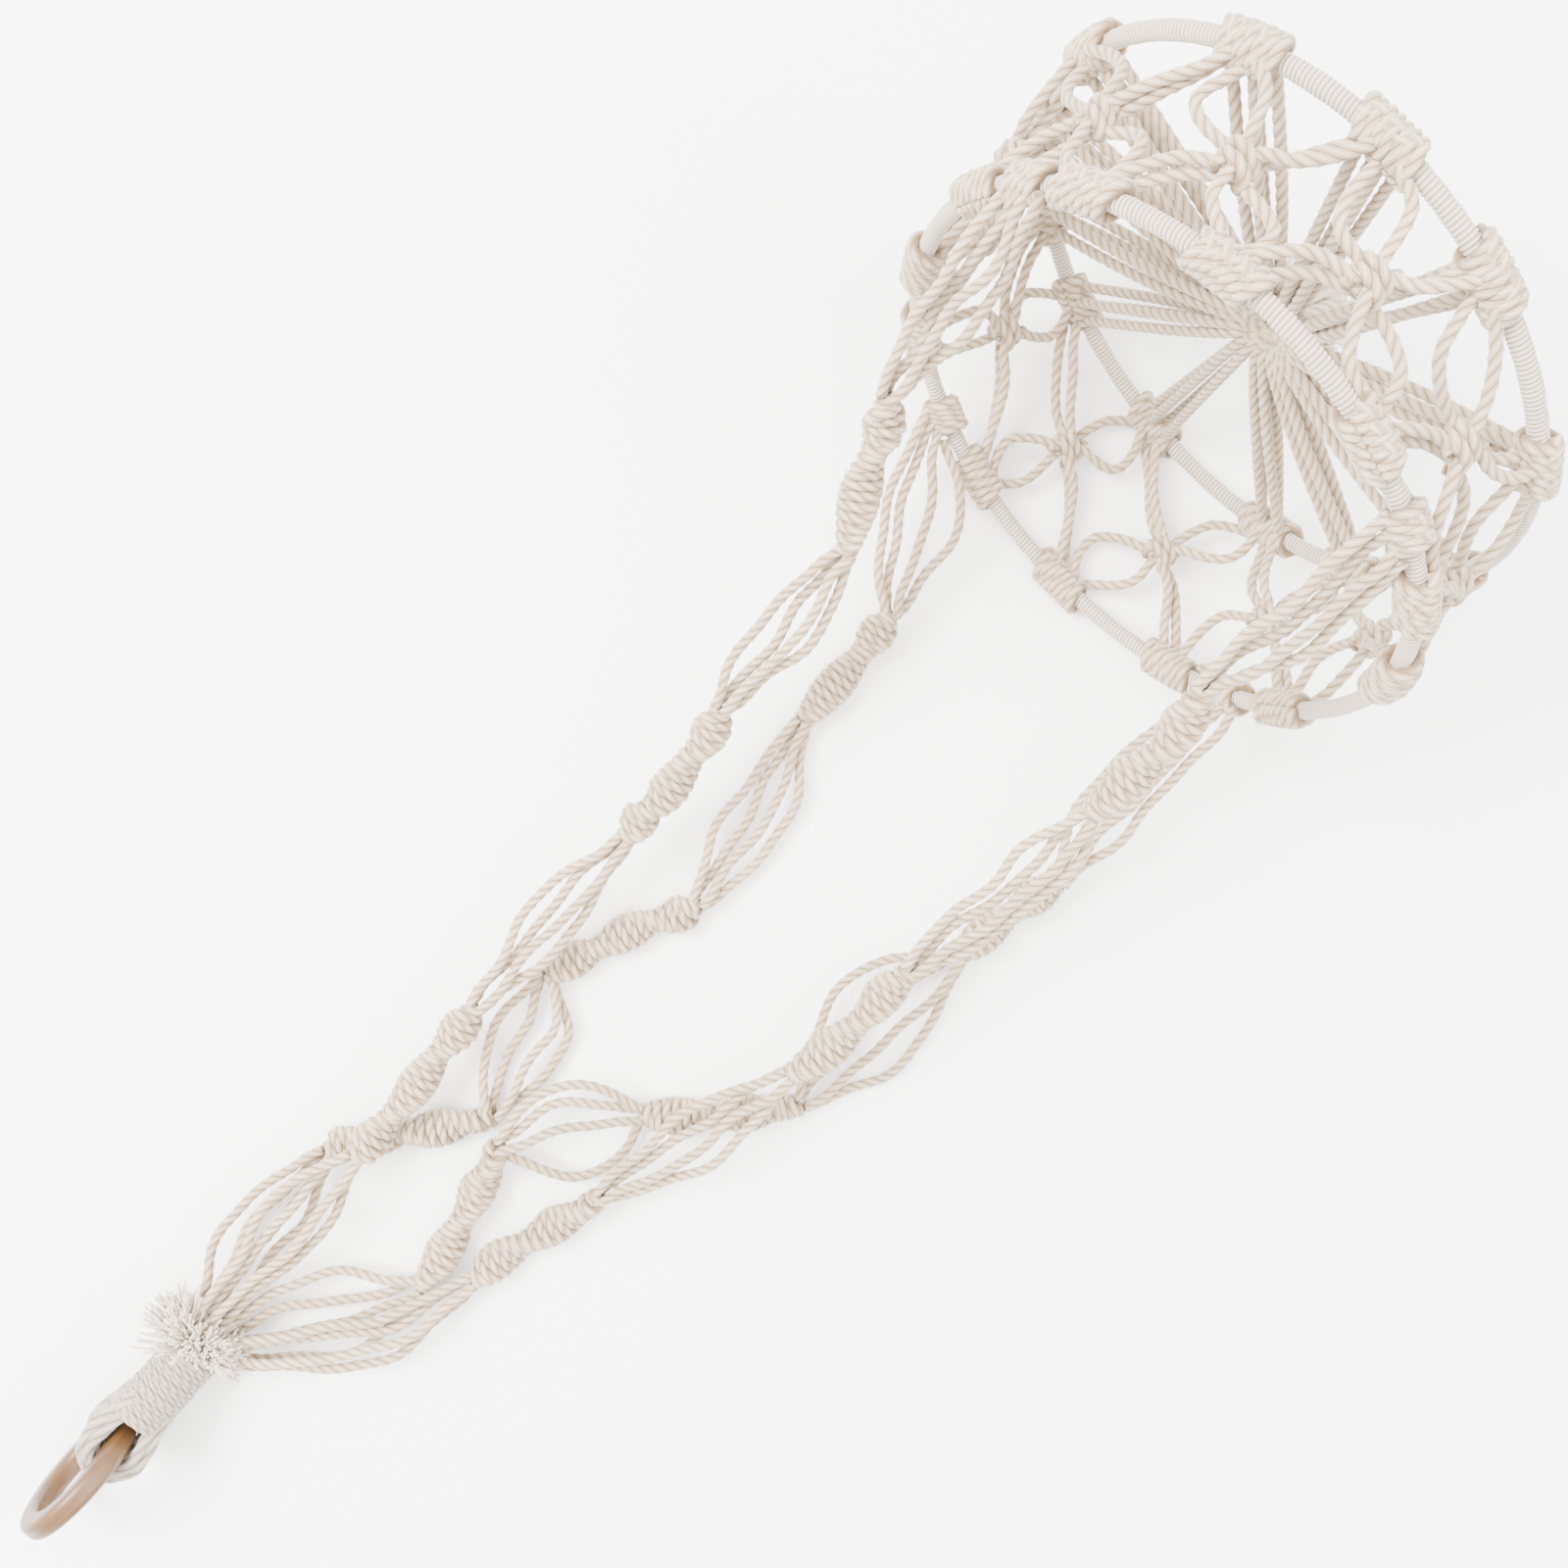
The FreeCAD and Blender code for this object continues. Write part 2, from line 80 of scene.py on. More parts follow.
HEAD_WRAP_END = P(-229.5, -9.7, 16)
HEAD_WRAP_D = 22.0
HEAD_WRAP_TURNS = 17
HEAD_TUFT_START = P(-231, -10, 19)
HEAD_TUFT_END = P(-213, -7, 21)
ARM_AT_HEAD = {"a": (1, 1), "b": (1, -1), "c": (-1, 1), "d": (-1, -1)}
UPPER_GROUPS = (23, 61, 80, 112, 139, 166, 199, 231, 254, 292, 323, 354)
LOWER_GROUPS = (33, 56, 80, 105, 145, 172, 197, 232, 275, 303, 326, 361)
ARM_AT_HOOP = {"a": 126, "b": 39, "c": 216, "d": 307}
ARM_SPREAD = 5.2

# Three spirals of half knots on each arm, from the wooden ring towards the basket.
SPIRALS = {
    "a": (
        ((-139, 4, 20, "neck"), (-132, 4, 21, "knot"), (-119, 6, 20, "neck"),
         (-105, 8, 19, "bulge"), (-90, 12, 19, "neck"), (-79, 13, 20, "bulge"), (-69, 15, 21, "neck")),
        ((15, 24, 27, "neck"), (24, 26, 29, "knot"), (29, 26, 31, "neck"),
         (39, 26, 34, "bulge"), (55, 30, 39, "neck"), (65, 31, 42, "knot"), (73, 35, 45, "neck")),
        ((140, 44, 72, "neck"), (144, 47, 75, "neck"), (157, 56, 84, "bulge"),
         (168, 62, 90, "neck"), (175, 65, 96, "knot"), (180, 70, 101, "neck")),
    ),
    "b": (
        ((-150, 12, 8, "neck"), (-144, 11, 8, "knot"), (-136, 7, 8, "neck"),
         (-123, -2, 8, "neck"), (-112, -10, 8, "bulge"), (-102, -16, 7, "neck"), (-95, -20, 6, "neck")),
        ((-43, 7, 8, "neck"), (-32, 4, 8, "bulge"), (-22, 1, 8, "neck"),
         (-9, -2, 8, "bulge"), (2, -6, 8, "neck"), (10, -11, 8, "knot"), (17, -12, 9, "neck")),
        ((93, 13, 8.5, "neck"), (111, 15, 10, "bulge"),
         (127, 17, 12, "neck"), (136, 19, 13, "knot"), (144, 20, 15, "neck")),
    ),
    "c": (
        ((-141, -61, 9, "neck"), (-129, -61, 8, "bulge"), (-115, -64, 9, "neck"),
         (-103, -66, 10, "bulge"), (-91, -69, 12, "neck"), (-83, -69, 14, "neck")),
        ((3, -80, 33, "neck"), (10, -81, 35, "neck"), (24, -82, 38, "bulge"),
         (39, -81, 42, "neck"), (51, -79, 45, "bulge"), (61, -79, 48, "neck")),
        ((140, -75, 88, "neck"), (147, -74, 92, "neck"), (159, -73, 98, "bulge"),
         (171, -72, 105, "neck"), (181, -69, 112, "knot"), (188, -65, 118, "neck")),
    ),
    "d": (
        ((-158, -49, 8, "neck"), (-153, -48, 8, "neck"), (-140, -45, 8, "bulge"),
         (-127, -40, 8, "neck"), (-115, -36, 9, "bulge"), (-104, -32, 14, "neck"), (-98, -29, 18, "neck")),
        ((-52, -57, 8, "neck"), (-41, -68, 8, "bulge"), (-31, -77, 8, "neck"),
         (-21, -84, 8, "bulge"), (-11, -91, 8, "neck"), (-4, -95, 8, "neck")),
        ((78, -93, 8, "neck"), (92, -93, 8, "bulge"), (105, -94, 9, "neck"),
         (115, -95, 10, "bulge"), (125, -97, 12, "neck")),
    ),
}

# Loose cords, four to a stretch: sideways bows a quarter, a half and three quarters along.
LOOSE = {
    "a": (
        ((5, 10, 13), (2, 4, 7), (-2, -5, -6), (-6, -9, -10)),
        ((5, 10, 8), (2, 4, 3), (-3, -1, -4), (-7, -8, -6)),
        ((7, 9, 7), (2, -1, 3), (-3, -6, -2), (-6, -10, -8)),
        ((5, 7, 4), (1, 3, -1), (-3, -2, -6), (-8, -9, -11)),
    ),
    "b": (
        ((10, 16, 13), (5, 8, 5), (-1, 2, -2), (-7, -5, -8)),
        ((11, 12, 7), (3, 4, -2), (-4, -8, -11), (-10, -15, -16)),
        ((8, 7, 6), (2, -1, 1), (-4, -7, -5), (-12, -14, -11)),
        ((9, 12, 8), (3, 7, 3), (-3, -5, -4), (-11, -18, -14)),
    ),
    "c": (
        ((0, -3, -3), (-3, -7, -9), (-10, -15, -13), (-15, -20, -19)),
        ((7, 9, 8), (2, 1, 4), (-4, -5, -2), (-10, -12, -9)),
        ((6, 5, 7), (1, -1, 0), (-4, -5, -7), (-8, -10, -12)),
        ((5, 4, 6), (0, -1, 1), (-4, -6, -5), (-8, -10, -9)),
    ),
    "d": (
        ((13, 16, 12), (6, 5, 1), (-1, -3, -6), (-12, -17, -16)),
        ((14, 21, 15), (8, 12, 7), (2, 3, -1), (-12, -22, -17)),
        ((17, 25, 18), (4, 7, 5), (-3, -5, -4), (-12, -15, -11)),
        ((13, 16, 11), (7, 8, 4), (1, 0, -2), (-6, -7, -7)),
    ),
}
NO_LIFT = (0, 0, 0, 0)
LIFTS = {
    "a": (NO_LIFT, (2, 2, 2, 2), NO_LIFT, NO_LIFT),
    "b": (NO_LIFT, NO_LIFT, NO_LIFT, NO_LIFT),
    "c": ((5, 5, 4, 3), (1, 1, 1, 1), NO_LIFT, NO_LIFT),
    "d": (NO_LIFT, (7, 7, 6, -4), NO_LIFT, NO_LIFT),
}
NET_BOWS = (4.0, 7.5, 2.5, 6.0, 3.0, 8.0, 5.0)
SPOKE_SAGS = (1.2, 2.4, 0.8, 1.8, 2.9)
STACK = ((0.5, 0.5), (0.5, -0.5), (-0.5, 0.5), (-0.5, -0.5))   # four cords in a bundle
FULL_TURN = 2 * math.pi
GOLDEN_SHARE = 0.381966      # of a full turn, which spreads points evenly over a disc

# ---------------------------------------------------------------- camera, floor and light
CAMERA_AT = (0.072, 0, 0.603)
CAMERA_TURN = math.radians(-42)
CAMERA_LENS = 36
CAMERA_SENSOR = 36
camera_data = bpy.data.cameras.new("camera")
camera_data.lens = CAMERA_LENS
camera_data.sensor_width = CAMERA_SENSOR
camera = bpy.data.objects.new("camera", camera_data)
camera.location = CAMERA_AT
camera.rotation_euler = (0, 0, CAMERA_TURN)
bpy.context.scene.collection.objects.link(camera)
bpy.context.scene.camera = camera


def add_light(name, at, aim, width, power):
    data = bpy.data.lights.new(name, "AREA")
    data.size = width
    data.energy = power
    light = bpy.data.objects.new(name, data)
    light.location = at
    way = unit(np.array(aim, float) - np.array(at, float))
    pitch = math.acos(-way[2])
    heading = math.atan2(way[1], way[0]) - math.pi / 2
    light.rotation_euler = (pitch, 0, heading)
    bpy.context.scene.collection.objects.link(light)


add_light("key", at=(-0.5, 0.9, 1.5), aim=(0.05, 0, 0.03), width=0.9, power=145)
add_light("fill", at=(0.9, -0.8, 1.2), aim=(0.05, 0, 0.03), width=1.4, power=46)
add_light("top", at=(0.1, 0.1, 1.9), aim=(0.05, 0, 0), width=1.6, power=76)

world = bpy.data.worlds.new("studio")
world.use_nodes = True
world.node_tree.nodes["Background"].inputs["Color"].default_value = (1, 0.99, 0.975, 1)
world.node_tree.nodes["Background"].inputs["Strength"].default_value = 2.5
bpy.context.scene.world = world


# ---------------------------------------------------------------- materials
class Recipe:
    """A material, with the kinds of node that the materials here share."""

    def __init__(self, name, surface):
        self.material = bpy.data.materials.new(name)
        self.material.use_nodes = True
        self.nodes = self.material.node_tree.nodes
        self.links = self.material.node_tree.links
        self.shader = self.nodes["Principled BSDF"]
        for title, value in surface.items():
            self.settle(self.shader.inputs[title], value)

    def settle(self, socket, value):
        """Links an output to the socket, or sets a constant on it."""
        if isinstance(value, bpy.types.NodeSocket):
            self.links.new(value, socket)
        else:
            socket.default_value = value

    def place(self):
        return self.nodes.new("ShaderNodeTexCoord").outputs["Object"]

    def painted(self, title):
        """A value that the mesh carries at each of its points."""
        node = self.nodes.new("ShaderNodeAttribute")
        node.attribute_name = title
        return node.outputs["Fac"]

    def maths(self, operation, first, second):
        node = self.nodes.new("ShaderNodeMath")
        node.operation = operation
        self.settle(node.inputs[0], first)
        self.settle(node.inputs[1], second)
        return node.outputs["Value"]

    def vector(self, operation, first, second, output="Value"):
        node = self.nodes.new("ShaderNodeVectorMath")
        node.operation = operation
        self.settle(node.inputs[0], first)
        self.settle(node.inputs[1], second)
        return node.outputs[output]

    def combined(self, x, y, z):
        node = self.nodes.new("ShaderNodeCombineXYZ")
        for socket, value in zip(node.inputs, (x, y, z)):
            self.settle(socket, value)
        return node.outputs["Vector"]

    def scaled(self, colour, share):
        node = self.nodes.new("ShaderNodeVectorMath")
        node.operation = "SCALE"
        self.settle(node.inputs[0], colour)
        self.settle(node.inputs["Scale"], share)
        return node.outputs["Vector"]

    def noise(self, at, scale, detail, roughness=0.5):
        node = self.nodes.new("ShaderNodeTexNoise")
        node.inputs["Scale"].default_value = scale
        node.inputs["Detail"].default_value = detail
        node.inputs["Roughness"].default_value = roughness
        self.links.new(at, node.inputs["Vector"])
        return node.outputs["Fac"]

    def fitted(self, value, old_range, new_range):
        """The value, moved from one range to another."""
        node = self.nodes.new("ShaderNodeMapRange")
        node.inputs["From Min"].default_value = old_range[0]
        node.inputs["From Max"].default_value = old_range[1]
        node.inputs["To Min"].default_value = new_range[0]
        node.inputs["To Max"].default_value = new_range[1]
        self.links.new(value, node.inputs["Value"])
        return node.outputs["Result"]

    def ramp(self, value, places, colours):
        node = self.nodes.new("ShaderNodeValToRGB")
        for element, where, colour in zip(node.color_ramp.elements, places, colours):
            element.position = where
            element.color = (*colour, 1)
        self.links.new(value, node.inputs["Fac"])
        return node.outputs["Color"]

    def mixed(self, share, under, over):
        node = self.nodes.new("ShaderNodeMix")
        node.data_type = "RGBA"
        under_socket, over_socket = [s for s in node.inputs if s.type == "RGBA"]
        self.settle(node.inputs["Factor"], share)
        self.settle(under_socket, under)
        self.settle(over_socket, (*over, 1))
        return [s for s in node.outputs if s.type == "RGBA"][0]

    def finish(self, colour, bump_height, bump_strength, bump_depth):
        bump = self.nodes.new("ShaderNodeBump")
        bump.inputs["Strength"].default_value = bump_strength
        bump.inputs["Distance"].default_value = bump_depth
        self.links.new(bump_height, bump.inputs["Height"])
        self.links.new(bump.outputs["Normal"], self.shader.inputs["Normal"])
        self.links.new(colour, self.shader.inputs["Base Color"])
        return self.material


def cotton(name, crest, groove_shade, fibre_scale, fibre_depth):
    """Natural cotton: pale crests, grooves in a darker, warmer painted shade, uneven tone and fine fibres.
    """
    recipe = Recipe(name, {
        "Roughness": 0.92, "Sheen Weight": 0.35, "Sheen Roughness": 0.5, "Specular IOR Level": 0.2,
    })
    place = recipe.place()
    fibres = recipe.noise(place, fibre_scale, detail=5, roughness=0.65)
    clouds = recipe.noise(place, 28, detail=2)
    # painted shade: where crest is 0 the cotton takes its darker groove colour, where it is 1 its own pale
    # colour
    colour = recipe.ramp(recipe.painted("crest"), (0.0, 0.75), (groove_shade, crest))
    uneven = recipe.maths("ADD", recipe.painted("tone"), clouds)
    level = recipe.fitted(uneven, (0.3, 1.6), (0.88, 1.06))
    fleck = recipe.fitted(fibres, (0.3, 0.7), (0.93, 1.05))
    colour = recipe.scaled(colour, recipe.maths("MULTIPLY", level, fleck))
    return recipe.finish(colour, fibres, bump_strength=0.5, bump_depth=fibre_depth)


# the second colour of each cotton is painted shade for its grooves and hollows
CORD_COTTON = cotton("cord_cotton", (0.54, 0.435, 0.31), (0.19, 0.115, 0.052), 2600, 0.0003)
WRAP_COTTON = cotton("wrap_cotton", (0.56, 0.485, 0.40), (0.22, 0.16, 0.11), 2600, 0.00025)
HEAD_COTTON = cotton("head_cotton", (0.42, 0.36, 0.295), (0.15, 0.105, 0.075), 2600, 0.00025)
FRAYED_COTTON = cotton("frayed_cotton", (0.66, 0.57, 0.46), (0.34, 0.25, 0.16), 3200, 0.0002)


def ring_wood():
    """Light wood with grain that runs round the ring, and a darker patch at its joint."""
    recipe = Recipe("ring_wood", {"Roughness": 0.42, "Coat Weight": 0.15, "Coat Roughness": 0.3})
    place = recipe.place()
    centred = recipe.vector("SUBTRACT", place, tuple(WOOD_RING_AT * MM), "Vector")
    sideways = recipe.vector("DOT_PRODUCT", centred, (1, 0, 0))
    upward = recipe.vector("DOT_PRODUCT", centred, tuple(RING_UP))
    axial = recipe.vector("DOT_PRODUCT", centred, tuple(RING_AXIS))
    radius = recipe.vector("LENGTH", recipe.combined(sideways, upward, 0.0), (0, 0, 0))
    # a full turn round the ring counts as a few millimetres, so the grain is drawn out that way
    round_way = recipe.maths("MULTIPLY", recipe.maths("ARCTAN2", upward, sideways), 0.0022)
    grain_place = recipe.combined(round_way, radius, axial)
    fine = recipe.noise(grain_place, 1500, detail=6, roughness=0.6)
    broad = recipe.noise(grain_place, 340, detail=3)
    both = recipe.maths("ADD", recipe.maths("MULTIPLY", fine, 0.45), recipe.maths("MULTIPLY", broad, 0.55))
    colour = recipe.ramp(both, (0.3, 0.72), ((0.063, 0.026, 0.0065), (0.135, 0.064, 0.018)))
    joint_at = WOOD_RING_AT + P(12, 0, 0) - RING_UP * 17
    offset = recipe.vector("DISTANCE", place, tuple(joint_at * MM))
    near = recipe.fitted(offset, (0.003, 0.008), (1, 0))
    spots = recipe.fitted(recipe.noise(place, 900, detail=4), (0.42, 0.6), (0, 0.75))
    colour = recipe.mixed(recipe.maths("MULTIPLY", near, spots), colour, (0.035, 0.014, 0.004))
    return recipe.finish(colour, fine, bump_strength=0.25, bump_depth=0.0002)


def floor_material():
    surface = {"Base Color": (0.97, 0.97, 0.97, 1), "Roughness": 0.9, "Specular IOR Level": 0.1}
    return Recipe("pale_floor", surface).material


FLOOR_HALF = 4              # metres
FLOOR_CORNERS = [(-FLOOR_HALF, -FLOOR_HALF, 0), (FLOOR_HALF, -FLOOR_HALF, 0),
                 (FLOOR_HALF, FLOOR_HALF, 0), (-FLOOR_HALF, FLOOR_HALF, 0)]
floor_mesh = bpy.data.meshes.new("floor")
floor_mesh.from_pydata(FLOOR_CORNERS, [], [(0, 1, 2, 3)])
floor = bpy.data.objects.new("floor", floor_mesh)
floor_mesh.materials.append(floor_material())
bpy.context.scene.collection.objects.link(floor)


# ---------------------------------------------------------------- building helpers
class Piece:
    """Gathers swept cords and strands into one mesh."""

    def __init__(self):
        self.verts = []
        self.faces = []
        self.crest = []
        self.tone = []
        self.count = 0

    def add(self, rings, crest, tone):
        """rings is an array of closed rings, one after another; crest is 0 to 1 at each point, and 0 takes
        the painted groove shade.
        """
        n, sides, _ = rings.shape
        base = self.count
        corner = base + np.arange(n * sides).reshape(n, sides)
        after = np.roll(corner, -1, axis=1)
        quads = np.stack((corner[:-1], after[:-1], after[1:], corner[1:]), axis=-1)
        self.faces.extend(quads.reshape(-1, 4).tolist())
        self.faces.append(corner[0][::-1].tolist())
        self.faces.append(corner[-1].tolist())
        self.verts.append(rings.reshape(-1, 3))
        self.crest.append(np.broadcast_to(crest, (n, sides)).ravel())
        self.tone.append(np.full(n * sides, tone))
        self.count += n * sides

    def make(self, name, material, slot):
        mesh = bpy.data.meshes.new(name)
        mesh.from_pydata((np.concatenate(self.verts) * MM).tolist(), [], self.faces)
        mesh.polygons.foreach_set("use_smooth", [True] * len(mesh.polygons))
        for title, values in (("crest", self.crest), ("tone", self.tone)):
            attribute = mesh.attributes.new(title, "FLOAT", "POINT")
            attribute.data.foreach_set("value", np.concatenate(values).astype(np.float32))
        mesh.materials.append(material)
        mesh.update()
        piece = bpy.data.objects.new(name, mesh)
        bpy.context.scene.collection.objects.link(piece)
        return piece


def spline_line(route, step=1.1):
    """Points along the smooth curve that has these route points as its control points."""
    curve = bpy.data.curves.new("route", "CURVE")
    curve.dimensions = "3D"
    spline = curve.splines.new("NURBS")
    spline.points.add(len(route) - 1)
    for point, where in zip(spline.points, route):
        point.co = (*(where * MM), 1)
    spline.order_u = min(3, len(route))
    spline.use_endpoint_u = True
    spline.resolution_u = 32
    holder = bpy.data.objects.new("route", curve)
    mesh = bpy.data.meshes.new_from_object(holder)
    line = np.array([v.co for v in mesh.vertices]) / MM
    bpy.data.objects.remove(holder)
    bpy.data.curves.remove(curve)
    bpy.data.meshes.remove(mesh)
    return even(line, step)


def lengths(line):
    """How far along the line each of its points is."""
    gaps = np.linalg.norm(np.diff(line, axis=0), axis=1)
    return np.concatenate(([0], np.cumsum(gaps)))


def even(line, step):
    """The same line with its points an even step apart."""
    far = lengths(line)
    count = max(3, int(round(far[-1] / step)) + 1)
    places = np.linspace(0, far[-1], count)
    return np.stack([np.interp(places, far, line[:, k]) for k in range(3)], axis=1)


def even_pair(line, core, step):
    """Two lines that run together, resampled so that the first has even steps."""
    far = lengths(line)
    share = far / far[-1]
    places = np.linspace(0, 1, max(3, int(round(far[-1] / step)) + 1))
    both = np.concatenate((line, core), axis=1)
    both = np.stack([np.interp(places, share, both[:, k]) for k in range(6)], axis=1)
    return both[:, :3], both[:, 3:]


def tangents(line):
    along = np.gradient(line, axis=0)
    return along / np.linalg.norm(along, axis=1)[:, None]


def frames(line):
    """Two directions across the line at each point, turning as little as they can."""
    along = tangents(line)
    current = P(0, 0, 1) if abs(along[0][2]) < 0.9 else P(1, 0, 0)
    across = np.zeros_like(along)
    for i in range(len(along)):
        current = unit(current - along[i] * np.dot(current, along[i]))
        across[i] = current
    return across, np.cross(along, across)


def circle_ways(angle, across, over):
    """Directions at the given angles round each point of a line."""
    flat = np.cos(angle)[None, :, None] * across[:, None, :]
    return flat + np.sin(angle)[None, :, None] * over[:, None, :]


LAY = 13.5                # length in which the cord's strands turn once round
STRANDS = 3
STRAND_RELIEF = 0.085     # how far the strands stand out, as a share of the cord's radius
YARN_RELIEF = 0.045       # the same for the yarns in each strand
YARNS = 3
FLOOR_GAP = 0.15          # every cord clears the floor by this much


def rope(piece, line, diameter=CORD_D, tone=None, sides=18, lay=LAY, core=None):
    """A laid cord: three strands of three yarns each, turning along the line.

    core is what the cord is wound round, point by point; the cord gets painted shade on its side towards
    it.
    """
    line = line.copy()
    line[:, 2] = np.maximum(line[:, 2], diameter / 2 + FLOOR_GAP)
    across, over = frames(line)
    far = lengths(line)
    turn = FULL_TURN * far / lay + chance.uniform(0, 6.28)
    angle = FULL_TURN * np.arange(sides) / sides
    shape = STRAND_RELIEF * np.cos(STRANDS * angle) + YARN_RELIEF * np.cos(STRANDS * YARNS * angle)
    relief = STRAND_RELIEF + YARN_RELIEF
    wide = diameter / 2 * (1 + shape - 0.3 * relief)
    # painted shade: crest falls to 0 in the grooves between strands and yarns
    crest = np.clip((shape + relief) / (2 * relief), 0, 1)
    whole = angle[None, :] + turn[:, None]
    facing = np.cos(whole)[:, :, None] * across[:, None, :] + np.sin(whole)[:, :, None] * over[:, None, :]
    rings = line[:, None, :] + wide[None, :, None] * facing
    height = np.broadcast_to(crest[None, :], whole.shape)
    # painted shade: the side facing the core is darker, which darkens the gaps between neighbouring turns
    if core is not None:
        outward = line - core
        outward = outward / np.maximum(np.linalg.norm(outward, axis=1), 0.01)[:, None]
        open_side = np.clip((np.einsum("ijk,ik->ij", facing, outward) - 0.05) / 0.75, 0, 1)
        height = height * open_side
    piece.add(rings, height, chance.uniform(0, 1) if tone is None else tone)


WAVES = (52.0, 29.0)      # lengths of the waves in a loose cord
END_FADE = 9.0            # the waves die away within this length of each end


def slack(line, size=0.9):
    """The small waves that a limp cord keeps from its knots; its ends stay where they are."""
    across, over = frames(line)
    far = lengths(line)
    fade = np.clip(np.minimum(far, far[-1] - far) / END_FADE, 0, 1)
    wave = np.zeros((2, len(line)))
    for k in range(2):
        for stretch in WAVES:
            phase = chance.uniform(0, 6.28)
            wave[k] += np.sin(FULL_TURN * far / stretch + phase) * stretch / WAVES[0]
    line = line + across * (wave[0] * fade * size * 0.5)[:, None]
    return line + over * (wave[1] * fade * size)[:, None]


def strand(piece, line, thick, tone):
    """A single thin strand that ends in a blunt tip."""
    across, over = frames(line)
    angle = FULL_TURN * np.arange(4) / 4
    wide = np.full(len(line), thick / 2)
    wide[-1] *= 1.25
    rings = line[:, None, :] + wide[:, None, None] * circle_ways(angle, across, over)
    # painted shade: each strand is darker towards its root, where the strands crowd together
    crest = np.linspace(0.3, 1.0, len(line))[:, None]
    piece.add(rings, crest, tone)


def hoop_axes(lean, yaw):
    a = math.radians(lean)
    b = math.radians(yaw)
    normal = P(math.cos(a) * math.cos(b), math.cos(a) * math.sin(b), -math.sin(a))
    side = P(-math.sin(b), math.cos(b), 0)
    down = -np.cross(normal, side)
    if down[2] > 0:
        down = -down
    return normal, down, side


UPPER = (P(224, -2, 103.6), hoop_axes(13, 0))
LOWER = (P(282, 5, 105.2), hoop_axes(8, -2))


def on_hoop(hoop, angle, radius=HOOP_R):
    at, (normal, down, side) = hoop
    t = math.radians(angle)
    out = down * math.cos(t) + side * math.sin(t)
    along = side * math.cos(t) - down * math.sin(t)
    return at + out * radius, out, along


# ---------------------------------------------------------------- loose cords of the arms
def stretch_axes(first, last):
    along = unit(last - first)
    side = unit(np.cross(P(0, 0, 1), along))
    return along, side, np.cross(along, side)


def loose_routes(first, last, bows, lifts, last_points):
    along, side, up = stretch_axes(first, last)
    routes = []
    for number, ((s, u), bow) in enumerate(zip(STACK, bows)):
        corner = side * (s * SPACING) + up * (u * SPACING)
        route = [first + corner]
        for part, value, share in zip((0.25, 0.5, 0.75), bow, (0.8, 1.0, 0.7)):
            rise = u * SPACING + lifts[number] * share
            route.append(first + (last - first) * part + side * value + up * rise)
        route.append(last_points[number] if last_points else last + corner)
        routes.append(route)
    return routes


head_dir, head_side, head_up = stretch_axes(HEAD_WRAP_START, HEAD_WRAP_END)
loose = []
for arm, spirals in SPIRALS.items():
    ends = [(P(*s[0][:3]), P(*s[-1][:3])) for s in spirals]
    shift_side, shift_up = ARM_AT_HEAD[arm]
    head_point = HEAD_WRAP_END + head_side * (shift_side * SPACING) + head_up * (shift_up * SPACING)
    hoop_point, out, along = on_hoop(UPPER, ARM_AT_HOOP[arm])
    normal = UPPER[1][0]
    row = []
    for place in (1.5, 0.5, -0.5, -1.5):
        if along[1] < 0:
            place = -place
        row.append(hoop_point + along * (place * ARM_SPREAD) - normal * (HITCH_D / 2 - 1.5))
    stretches = (
        (head_point, ends[0][0], None),
        (ends[0][1], ends[1][0], None),
        (ends[1][1], ends[2][0], None),
        (ends[2][1], hoop_point - normal * (HITCH_D / 2), row),
    )
    for number, (first, last, last_points) in enumerate(stretches, 1):
        routes = loose_routes(first, last, LOOSE[arm][number - 1], LIFTS[arm][number - 1], last_points)
        for cord, route in enumerate(routes, 1):
            loose.append((arm, number, cord, first, last, slack(spline_line(route))))

for k, (arm, number, cord, first, last, line) in enumerate(loose):
    piece = Piece()
    rope(piece, line)
    made = piece.make("cord_%s%d_%d" % (arm, number, cord), CORD_COTTON, "cotton_cord")
    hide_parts("arm_%s_loose_%d" % (arm, number))
    if number == 1:
        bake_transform(made)
    elif number == 4:
        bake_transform(made)
    else:
        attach(made, "arms")


# ---------------------------------------------------------------- spirals of half knots
KNOTTED_D = 4.0           # a cord that a knot spreads a little
FULL_D = 4.2              # a cord that fills out where others press on it
KNOT_STEP = 3.9           # from one half knot to the next
KNOT_CORE = 2.2           # from the spiral's middle to each of the two cords inside it
SPIRAL_TAPER = 5.0        # length in which a spiral widens from its end
LONG_GAP = 11             # two seen widths this far apart have half a turn between them


